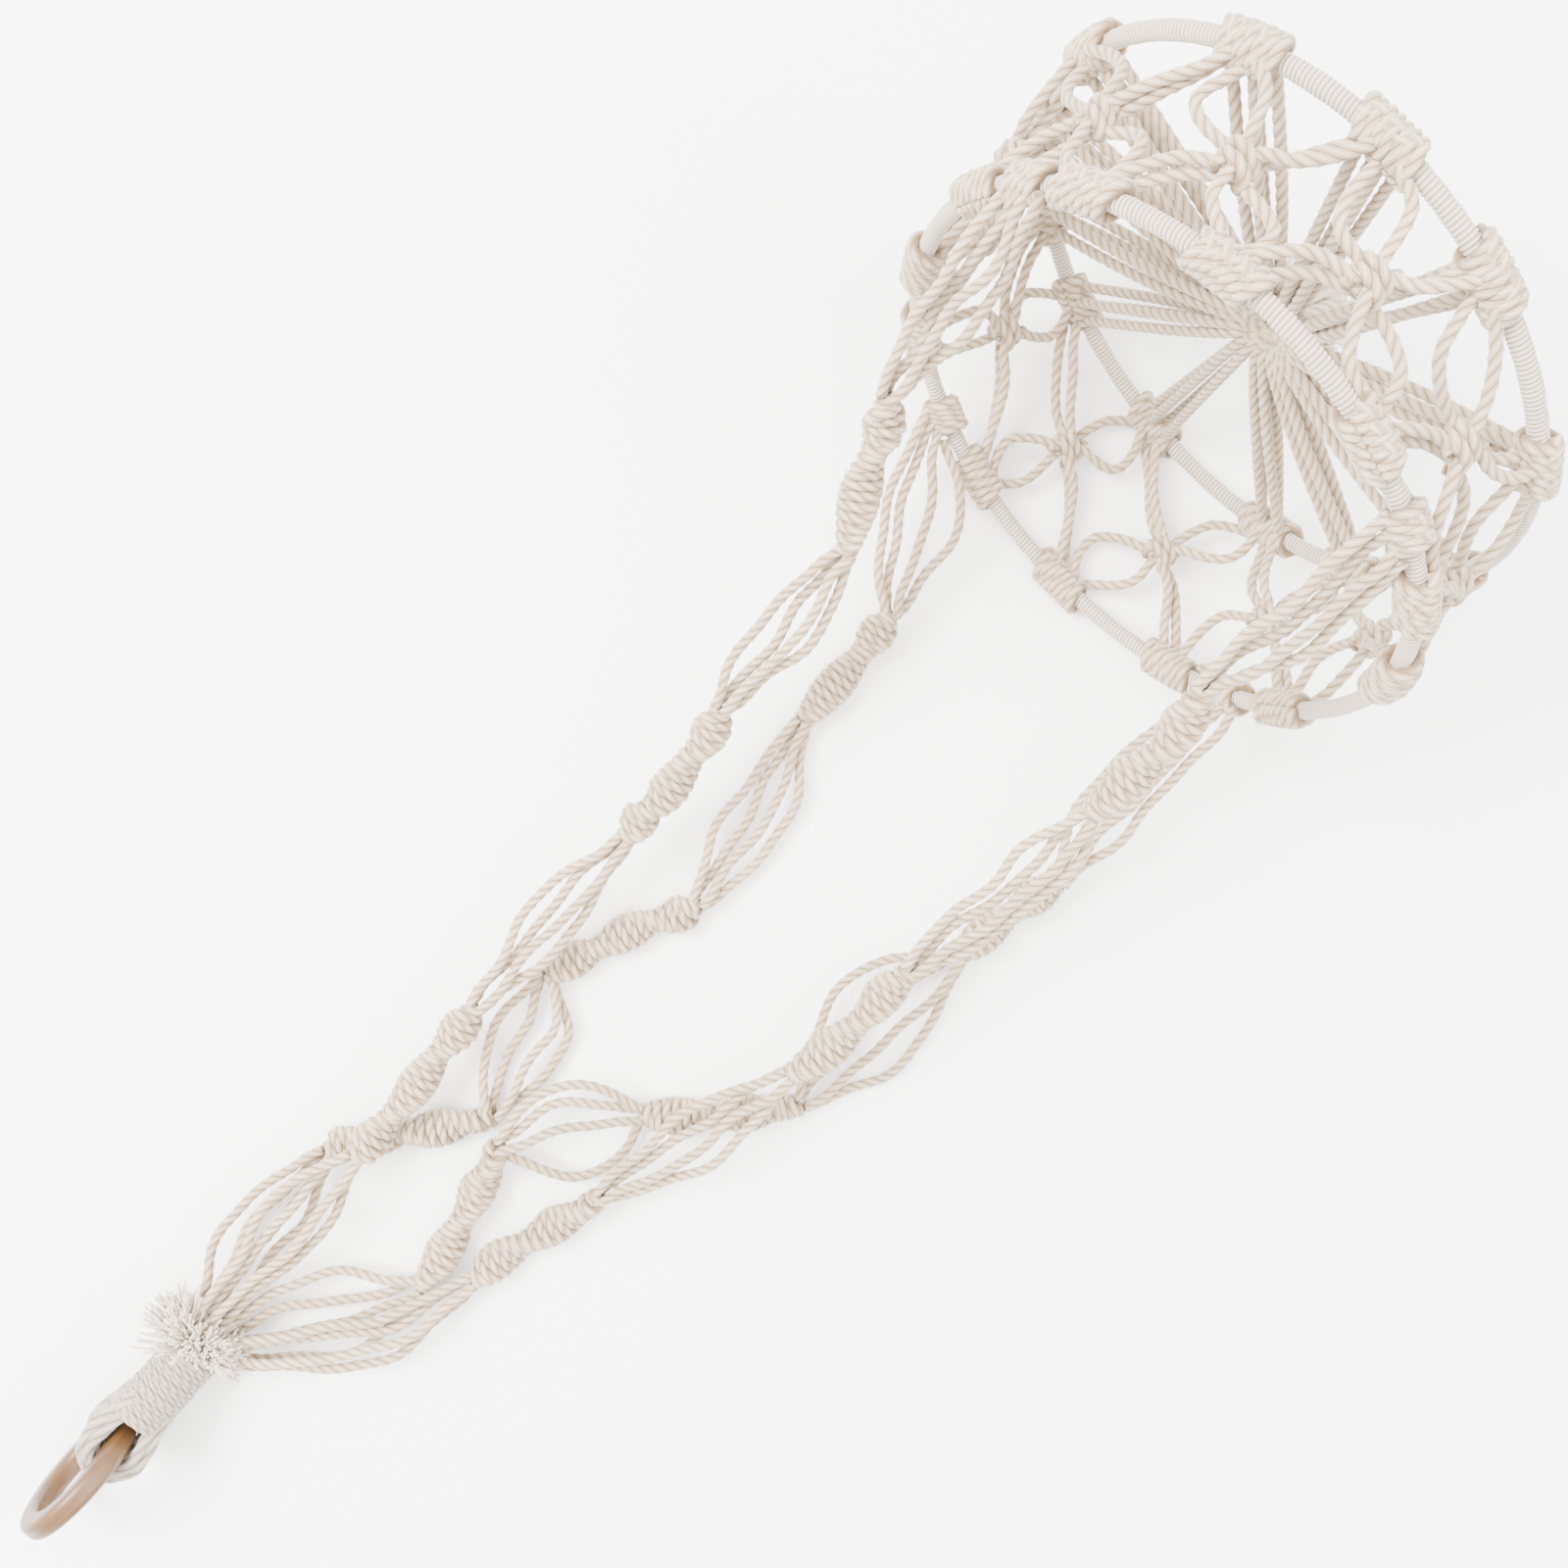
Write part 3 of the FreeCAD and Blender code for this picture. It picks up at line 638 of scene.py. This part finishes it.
def spiral_piece(piece, stations):
    """Two cords knotted round two others; the flat band of knots turns as it goes."""
    line = spline_line([P(*s[:3]) for s in stations], step=0.5)
    far = lengths(line)
    marks = lengths(np.array([s[:3] for s in stations], float))
    marks = marks / marks[-1] * far[-1]
    turns = [math.pi / 2 if stations[0][3] == "neck" else 0.0]
    for before, after, gap in zip(stations, stations[1:], np.diff(marks)):
        flat_before = before[3] != "neck"
        flat_after = after[3] != "neck"
        if flat_before != flat_after:
            turns.append(turns[-1] + math.pi / 2)
        elif gap > LONG_GAP:
            turns.append(turns[-1] + math.pi)
        else:
            turns.append(turns[-1] + 0.3)
    band = np.interp(far, marks, turns)
    along = tangents(line)
    side = np.cross(P(0, 0, 1), along)
    side = side / np.linalg.norm(side, axis=1)[:, None]
    up = np.cross(along, side)
    wide_way = np.cos(band)[:, None] * side + np.sin(band)[:, None] * up
    thin_way = -np.sin(band)[:, None] * side + np.cos(band)[:, None] * up
    nearest_end = np.minimum(far, far[-1] - far)
    ease = np.clip(nearest_end / SPIRAL_TAPER, 0, 1)
    ease = ease * ease * (3 - 2 * ease)
    wide = KNOT_CORE + (BULGE_D / 2 - CORD_D / 2 - KNOT_CORE) * ease
    thin = KNOT_CORE + (NECK_D / 2 - CORD_D / 2 - KNOT_CORE) * ease
    for start in (0.0, math.pi):
        theta = math.pi * far / KNOT_STEP + start
        # the cord lies flat across the face and turns sharply at the band's edges
        across = np.cos(theta) * (1 + 0.10 * np.sin(theta) ** 2)
        through = np.sin(theta)
        path = line + wide_way * (wide * across)[:, None] + thin_way * (thin * through)[:, None]
        path = path + along * (0.35 * np.sin(2 * theta) * ease)[:, None]
        path, core = even_pair(path, line, 0.85)
        rope(piece, path, diameter=KNOTTED_D, tone=chance.uniform(0.3, 0.9), core=core)
    for way in (-1, 1):
        rope(piece, even(line + wide_way * (KNOT_CORE * way), 1.5), diameter=FULL_D, tone=0.2, sides=12)


for arm, spirals in SPIRALS.items():
    for number, stations in enumerate(spirals, 1):
        piece = Piece()
        spiral_piece(piece, stations)
        made = piece.make("knots_%s%d" % (arm, number), CORD_COTTON, "cotton_cord")
        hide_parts("arm_%s_spiral_%d" % (arm, number))
        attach(made, "arms")


# ---------------------------------------------------------------- hoops and what is tied to them
def hoop_wrap(piece, hoop, turns=430, steps_per_turn=5, sides=14):
    """Thin cord wound turn against turn round the hoop."""
    at, (normal, down, side) = hoop
    steps = turns * steps_per_turn
    around = FULL_TURN * np.arange(steps + 1) / steps
    section = FULL_TURN * np.arange(sides) / sides
    out = np.cos(around)[:, None] * down + np.sin(around)[:, None] * side
    centre = at + out * HOOP_R
    phase = turns * around[:, None] + section[None, :]
    ridge = np.abs(np.cos(phase / 2))
    wobble = 0.05 * np.sin(37 * around)[:, None] + 0.04 * np.sin(91 * around + 1)[:, None]
    wide = WRAP_D / 2 - 0.42 + 0.46 * ridge + wobble
    rings = centre[:, None, :] + wide[:, :, None] * (
        np.cos(section)[None, :, None] * out[:, None, :] + np.sin(section)[None, :, None] * normal)
    # painted shade in the grooves between turns; squaring the ridge widens the shaded part
    piece.add(rings, ridge ** 2, 0.6)


HITCH_SLANT = 2.5


def hitches(piece, hoop, angle, half_angle, count):
    """Half hitches: slanting turns of cord that grip the hoop, with bars across them."""
    at, (normal, down, side) = hoop
    reach = WRAP_D / 2 + CORD_D / 2 - 0.5
    total = math.radians(2 * half_angle) * HOOP_R - CORD_D * 0.6
    lean = chance.choice((-1.0, 1.0)) * HITCH_SLANT
    first = chance.uniform(0, 6.28)
    for turn in range(count):
        where = -total / 2 + total * (turn + 0.5) / count
        samples = np.linspace(0, FULL_TURN, 30)
        theta = samples + first
        push = chance.uniform(-0.25, 0.25)
        lift = 0.35 * np.abs(np.sin(samples / 2)) + chance.uniform(0, 0.25)
        shift = where + push + lean * np.cos(samples) * 0.8 + (samples / FULL_TURN - 0.5) * 1.2
        spread = math.radians(angle) + shift / HOOP_R
        out = np.cos(spread)[:, None] * down + np.sin(spread)[:, None] * side
        path = at + out * (HOOP_R + (reach + lift) * np.cos(theta))[:, None]
        path = path + normal * ((reach + lift) * np.sin(theta))[:, None]
        path, core = even_pair(path, at + out * HOOP_R, 0.9)
        rope(piece, path, diameter=CORD_D + 0.3, tone=chance.uniform(0.3, 1), core=core)
    # the bar that each hitch leaves on the basket's outside
    for turn in range(count // 2):
        where = -total / 2 + total * (turn * 2 + 1) / count
        samples = np.linspace(-1, 1, 9)
        spread = math.radians(angle) + (where + samples * CORD_D * 0.75) / HOOP_R
        out = np.cos(spread)[:, None] * down + np.sin(spread)[:, None] * side
        high = HOOP_R + reach + 1.0 - 1.5 * samples ** 2
        path = at + out * high[:, None] + normal * (samples * lean * 0.9)[:, None]
        rope(piece, even(path, 0.9), tone=chance.uniform(0.4, 1), sides=15)


GROUP_HALF_ANGLE = 6.3
GROUP_TURNS = 7
ARM_HALF_ANGLE = 4.4
ARM_TURNS = 5
for name, hoop, groups, body in (
    ("upper", UPPER, UPPER_GROUPS, "basket"),
    ("lower", LOWER, LOWER_GROUPS, "base"),
):
    piece = Piece()
    hoop_wrap(piece, hoop)
    made = piece.make(name + "_hoop_winding", WRAP_COTTON, "wrap_cotton")
    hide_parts(name + "_hoop", name + "_hoop_wrap")
    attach(made, body)
    piece = Piece()
    for angle in groups:
        hitches(piece, hoop, angle, GROUP_HALF_ANGLE, GROUP_TURNS)
    made = piece.make(name + "_net_hitches", CORD_COTTON, "cotton_cord")
    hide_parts(name + "_hitches")
    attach(made, body)
piece = Piece()
for angle in ARM_AT_HOOP.values():
    hitches(piece, UPPER, angle, ARM_HALF_ANGLE, ARM_TURNS)
made = piece.make("arm_tie_hitches", CORD_COTTON, "cotton_cord")
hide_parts("arm_hitches")
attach(made, "basket")


# ---------------------------------------------------------------- net between the hoops
def net_knot(piece, middle, axis, along, out):
    """A square knot: two half knots of opposite hand over two straight cords."""
    half = NET_KNOT_LENGTH / 2
    place = np.linspace(-1, 1, 40)
    for start in (0.0, math.pi):
        theta = place * math.pi * 1.25 + start
        path = middle + axis * (place * half)[:, None]
        path = path + along * (np.cos(theta) * NET_KNOT_HALF_WIDTH)[:, None]
        path = path + out * (np.sin(theta) * NET_KNOT_HALF_DEPTH)[:, None]
        path, core = even_pair(path, middle + axis * (place * half * 0.8)[:, None], 0.85)
        rope(piece, path, diameter=KNOTTED_D + 0.1, tone=chance.uniform(0.2, 0.9), core=core)
    for way in (-1, 1):
        straight = np.linspace(-1, 1, 6)[:, None] * half * axis + middle + along * (1.5 * way)
        rope(piece, straight, diameter=KNOTTED_D, tone=0.3, sides=12)


def net_cord_route(hoop, angle, way, sign, outer, knot_ways, number):
    """From a group of hitches to a knot. way is -1 towards the upper hoop and 1 towards the lower."""
    middle, axis, along, out = knot_ways
    bow = NET_BOWS[(number - 1) % len(NET_BOWS)]
    place = (0.5 + outer) * -sign
    layer = (0.5 - outer) * SPACING * sign * way
    spot, out_h, along_h = on_hoop(hoop, angle)
    start = spot + along_h * (place * SPACING) - hoop[1][0] * (way * (HITCH_D / 2 - 1.2))
    start = start + out_h * layer
    end = middle + along * (sign * (0.5 + (1 - outer)) * SPACING * 0.5)
    end = end + axis * (way * (NET_KNOT_LENGTH / 2 - 1.2)) + out * layer
    push = along * (sign * bow * (0.25 if outer else 0.7)) + out * (layer * 0.3)
    run = end - start
    across = unit(np.cross(out, run))
    if np.dot(across, along) * sign < 0:
        across = -across
    # the basket lies on its side, so one pair of each knot hangs slack and spreads
    if sign * way < 0:
        spread = (6.0 + 0.5 * bow) if outer == 0 else -(2.5 + 0.7 * bow)
        early, late = (1.15, 0.75) if number % 3 else (0.7, 1.2)
    else:
        spread = 1.0 + 0.35 * bow
        early, late = 0.6, 1.0
    first_third = start + run * 0.3 + push * 0.5 + across * (spread * early)
    last_third = start + run * 0.72 + push * 0.5 + across * (spread * late)
    return [start, first_third, last_third, end, end - axis * (way * 2.0)]


count = len(UPPER_GROUPS)
knots = Piece()
upper_net = Piece()
lower_net = Piece()
cord_number = 0
for number in range(count):
    after = (number + 1) % count
    lap = 360 if after == 0 else 0
    angle = (UPPER_GROUPS[number] + UPPER_GROUPS[after] + lap
             + LOWER_GROUPS[number] + LOWER_GROUPS[after] + lap) / 4
    p1, out1, along1 = on_hoop(UPPER, angle, HOOP_R - NET_KNOT_SINK)
    p2, out2, _ = on_hoop(LOWER, angle, HOOP_R - NET_KNOT_SINK)
    middle = (p1 + p2) * 0.5
    out = unit(out1 + out2)
    axis = unit(p2 - p1)
    along = unit(np.cross(out, axis))
    if np.dot(along, along1) < 0:
        along = -along
    net_knot(knots, middle, axis, along, out)
    for hoop, groups, way, piece in (
        (UPPER, UPPER_GROUPS, -1, upper_net),
        (LOWER, LOWER_GROUPS, 1, lower_net),
    ):
        for group, turned_by, sign in ((number, 0, -1), (after, lap, 1)):
            for outer in (0, 1):
                cord_number += 1
                route = net_cord_route(hoop, groups[group] + turned_by, way, sign, outer,
                                       (middle, axis, along, out), cord_number)
                rope(piece, slack(spline_line(route), 0.5))
made = knots.make("net_square_knots", CORD_COTTON, "cotton_cord")
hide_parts("net_knots")
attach(made, "net_mid")
made = upper_net.make("net_cords_to_upper_hoop", CORD_COTTON, "cotton_cord")
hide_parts("net_cords_upper")
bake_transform(made)
made = lower_net.make("net_cords_to_lower_hoop", CORD_COTTON, "cotton_cord")
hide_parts("net_cords_lower")
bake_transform(made)


# ---------------------------------------------------------------- bottom of the basket
normal, down, side = LOWER[1]
spokes = Piece()
spoke_number = 0
for number, group in enumerate(LOWER_GROUPS):
    middle_angle = LOWER_GROUPS[0] + number * 360 / count
    for cord in range(4):
        layer = 0.5 if cord % 2 else -0.5
        place = cord - 1.5
        spot, out_h, along_h = on_hoop(LOWER, group, HOOP_R - HITCH_D / 2 + 1)
        start = spot + along_h * (place * SPACING) + normal * (layer * SPACING)
        inner, _, along_m = on_hoop(LOWER, middle_angle, BASE_CORD_END_R - 1.5)
        end = inner + along_m * ((0.5 if cord > 1 else -0.5) * SPACING) + normal * (layer * SPACING)
        sag = SPOKE_SAGS[spoke_number % len(SPOKE_SAGS)]
        spoke_number += 1
        halfway = (start + end) * 0.5 + normal * (sag * (1 if layer > 0 else -1))
        # each cord runs on from the gathering's edge, turns outwards and goes into its knot
        centre, _, _ = on_hoop(LOWER, middle_angle, 3.5)
        route = [start, halfway, end, (end + centre) * 0.5 + normal * 0.5, centre + normal * 4.0]
        rope(spokes, spline_line(route))
made = spokes.make("base_spoke_cords", CORD_COTTON, "cotton_cord")
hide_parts("base_cords")
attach(made, "base")

knot = Piece()
samples = np.linspace(0, FULL_TURN, 260)
at = LOWER[0] + normal * 2.5
for number in range(2):
    lap = samples * 3 + number
    reach = 9.6 + 4.2 * np.cos(lap * 5 / 3 + number)
    path = at + np.outer(np.cos(lap) * reach, down)
    path = path + np.outer(np.sin(lap) * reach, side)
    path = path + np.outer(3.2 * np.sin(lap * 5 / 3 + number) + 1.0, normal)
    rope(knot, even(path, 1.0), diameter=FULL_D)
made = knot.make("base_gathering_knot", CORD_COTTON, "cotton_cord")
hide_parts("base_knot")
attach(made, "base")


# ---------------------------------------------------------------- frayed tufts
def frayed(piece, root, way, small_r, large_r, length, bundles, per_bundle, thick, curl):
    """Cord ends combed out into strands that fan away from their root."""
    way = unit(way)
    a = unit(np.cross(way, P(0.3, 0.2, 1)))
    b = np.cross(way, a)
    for bundle in range(bundles):
        round_angle = FULL_TURN * bundle * GOLDEN_SHARE
        rim = math.sqrt((bundle + 0.5) / bundles)
        out = a * math.cos(round_angle) + b * math.sin(round_angle)
        base = root + out * (small_r * rim)
        aim = way * length + out * ((large_r - small_r) * rim * chance.uniform(0.5, 1.0))
        tone = chance.uniform(0, 1)
        for _ in range(per_bundle):
            stray = chance.normal(0, 1, 3)
            reach = chance.uniform(0.72, 1.0)
            tip = base + aim * reach + stray * (curl * 0.55)
            middle = base + aim * (reach * 0.5) + chance.normal(0, 1, 3) * (curl * 0.3)
            begin = base + chance.normal(0, 0.45, 3)
            s = np.linspace(0, 1, 7)[:, None]
            line = begin * (1 - s) ** 2 + middle * (2 * s * (1 - s)) + tip * s ** 2
            line[:, 2] = np.maximum(line[:, 2], 0.6)
            strand(piece, line, thick, tone)


TAIL_CORDS = 30
TAIL_R = 9                # of the tail where it leaves the gathering knot
tail_way = unit(P(0.75, -0.15, -0.62))
tail = Piece()
tail_start = LOWER[0] + normal * 4.5
frayed(tail, tail_start, tail_way, small_r=TAIL_R, large_r=20, length=27,
       bundles=46, per_bundle=16, thick=0.8, curl=3.0)
a = unit(np.cross(tail_way, P(0, 1, 0)))
b = np.cross(tail_way, a)
for cord in range(TAIL_CORDS):
    round_angle = FULL_TURN * cord * GOLDEN_SHARE
    rim = math.sqrt((cord + 0.5) / TAIL_CORDS)
    out = a * math.cos(round_angle) + b * math.sin(round_angle)
    begin = tail_start + out * (TAIL_R * rim)
    end = begin + tail_way * 15 + out * (4 * rim)
    rope(tail, even(np.array([begin, (begin + end) / 2 + out * 0.6, end]), 1.2), sides=12)
made = tail.make("base_frayed_tail", FRAYED_COTTON, "frayed_cotton")
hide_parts("base_tuft")
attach(made, "base")

# ---------------------------------------------------------------- head: loop, gathering wrap, tuft
LOOP_CORDS = 5            # in the inner layer; the outer layer has one fewer
LOOP_LAY = 26             # the loop's cords are pulled straight, so their lay is long
LOOP_SLACK = 1.5          # room for the wooden ring inside the loop
bar = WOOD_RING_AT + P(WOOD_MEAN_R, 0, 0)
bend = WOOD_DEEP / 2 + 0.3 + CORD_D / 2 + LOOP_SLACK
legs_end = HEAD_WRAP_START + head_dir * 12


def loop_route(level, wider, deeper):
    """Out of the wrap, round the wooden ring's bar at one level, and back into the wrap."""
    back = WOOD_MEAN_R - math.sqrt(WOOD_MEAN_R ** 2 - level ** 2)
    centre = bar + RING_UP * level - P(back, 0, 0)
    target = legs_end + RING_UP * level
    sideways = RING_AXIS * (bend + wider)
    beyond = bend * 1.12 + deeper
    half = ((0.6, target), (1.05, centre + P(2, 0, 0)), (1.0, centre - P(4, 0, 0)),
            (0.55, centre - P(beyond, 0, 0)))
    going = [at + sideways * share for share, at in half]
    coming = [at - sideways * share for share, at in reversed(half)]
    return going + coming


loop = Piece()
for number in range(LOOP_CORDS):
    route = loop_route((number - (LOOP_CORDS - 1) / 2) * SPACING, wider=0, deeper=0)
    rope(loop, spline_line(route), diameter=FULL_D, lay=LOOP_LAY)
for number in range(LOOP_CORDS - 1):
    route = loop_route((number - (LOOP_CORDS - 2) / 2) * SPACING * 1.1, wider=3.3, deeper=3.2)
    rope(loop, spline_line(route), diameter=FULL_D, lay=LOOP_LAY)
made = loop.make("head_loop_cords", HEAD_COTTON, "cotton_cord")
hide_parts("head_loop")
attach(made, "head")

wrap = Piece()
wrap_length = float(np.linalg.norm(HEAD_WRAP_END - HEAD_WRAP_START))
thread = wrap_length / HEAD_WRAP_TURNS
samples = np.linspace(0, FULL_TURN * HEAD_WRAP_TURNS, HEAD_WRAP_TURNS * 60)
uneven = 0.18 * np.sin(samples * 0.37) + 0.12 * np.sin(samples * 0.83 + 1)
reach = HEAD_WRAP_D / 2 - 1.25 + uneven
drift = 0.10 * np.sin(samples * 0.61)
along_wrap = 1.2 + samples / samples[-1] * (wrap_length - 2.4) + drift
path = HEAD_WRAP_START + np.outer(along_wrap, head_dir)
path = path + np.outer(np.cos(samples) * reach, head_side) + np.outer(np.sin(samples) * reach, head_up)
path, core = even_pair(path, HEAD_WRAP_START + np.outer(along_wrap, head_dir), 0.8)
rope(wrap, path, diameter=thread * 1.22, lay=12.0, tone=0.5, core=core)
# what the wrap is wound round shows as a plain core between its turns, darkened with painted shade
HEAD_CORE_R = 9.3
core = HEAD_WRAP_START + np.outer(np.linspace(1.5, wrap_length - 1.5, 12), head_dir)
across, over = frames(core)
angle = FULL_TURN * np.arange(20) / 20
rings = core[:, None, :] + HEAD_CORE_R * circle_ways(angle, across, over)
wrap.add(rings, 0.2, 0.3)
made = wrap.make("head_gathering_wrap", HEAD_COTTON, "wrap_cotton")
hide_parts("head_wrap")
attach(made, "head")

fringe = Piece()
tuft_way = unit(HEAD_TUFT_END - HEAD_TUFT_START)
# where each brush of ends points: sideways, upwards and along the wrap
brushes = (
    (0.9, 0.55, 0.35), (0.75, 0.8, 0.1), (0.3, 1.0, 0.3), (-0.1, 1.0, 0.7), (-0.5, 0.85, 0.5),
    (-0.9, 0.5, 0.55), (-1.0, 0.25, 0.25), (1.0, 0.15, 0.1), (0.5, 0.95, -0.2), (-0.7, 0.6, 0.9),
    (0.95, 0.35, 0.6), (0.1, 1.0, -0.1), (-0.3, 0.9, 0.2), (0.7, 0.3, 0.9), (-0.95, 0.1, 0.8),
    (0.6, 0.8, 0.4),
)
for sideways, upward, forward in brushes:
    way = unit(head_side * sideways + head_up * upward + head_dir * forward)
    radial = unit(head_side * sideways + head_up * upward)
    root = HEAD_TUFT_START + radial * 8.0 + head_dir * (1.0 + 2.0 * forward)
    longest = 17 if sideways > 0.4 else 13
    frayed(fringe, root, way, small_r=2.2, large_r=6.5, length=chance.uniform(0.75, 1.0) * longest,
           bundles=6, per_bundle=9, thick=0.8, curl=1.7)
frayed(fringe, HEAD_TUFT_START, tuft_way, small_r=8.5, large_r=14.5, length=14,
       bundles=20, per_bundle=10, thick=0.75, curl=2.6)
# a few long strands stray over the wrap
for sideways, upward, forward in ((1.0, 0.5, -0.45), (1.0, 0.25, -0.1), (0.8, 0.9, 0.2), (1.0, 0.1, -0.7)):
    way = head_side * sideways + head_up * upward + head_dir * forward
    frayed(fringe, HEAD_TUFT_START + unit(way) * 8.0, way, small_r=1.0, large_r=3.0, length=15,
           bundles=2, per_bundle=2, thick=0.8, curl=2.2)
made = fringe.make("head_frayed_ends", FRAYED_COTTON, "frayed_cotton")
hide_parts("head_tuft")
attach(made, "head")

# ---------------------------------------------------------------- wooden ring
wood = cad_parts["wood_ring"]
wood_material = ring_wood()
for slot_number in range(len(wood.material_slots)):
    wood.material_slots[slot_number].material = wood_material
wood.data.polygons.foreach_set("use_smooth", [True] * len(wood.data.polygons))

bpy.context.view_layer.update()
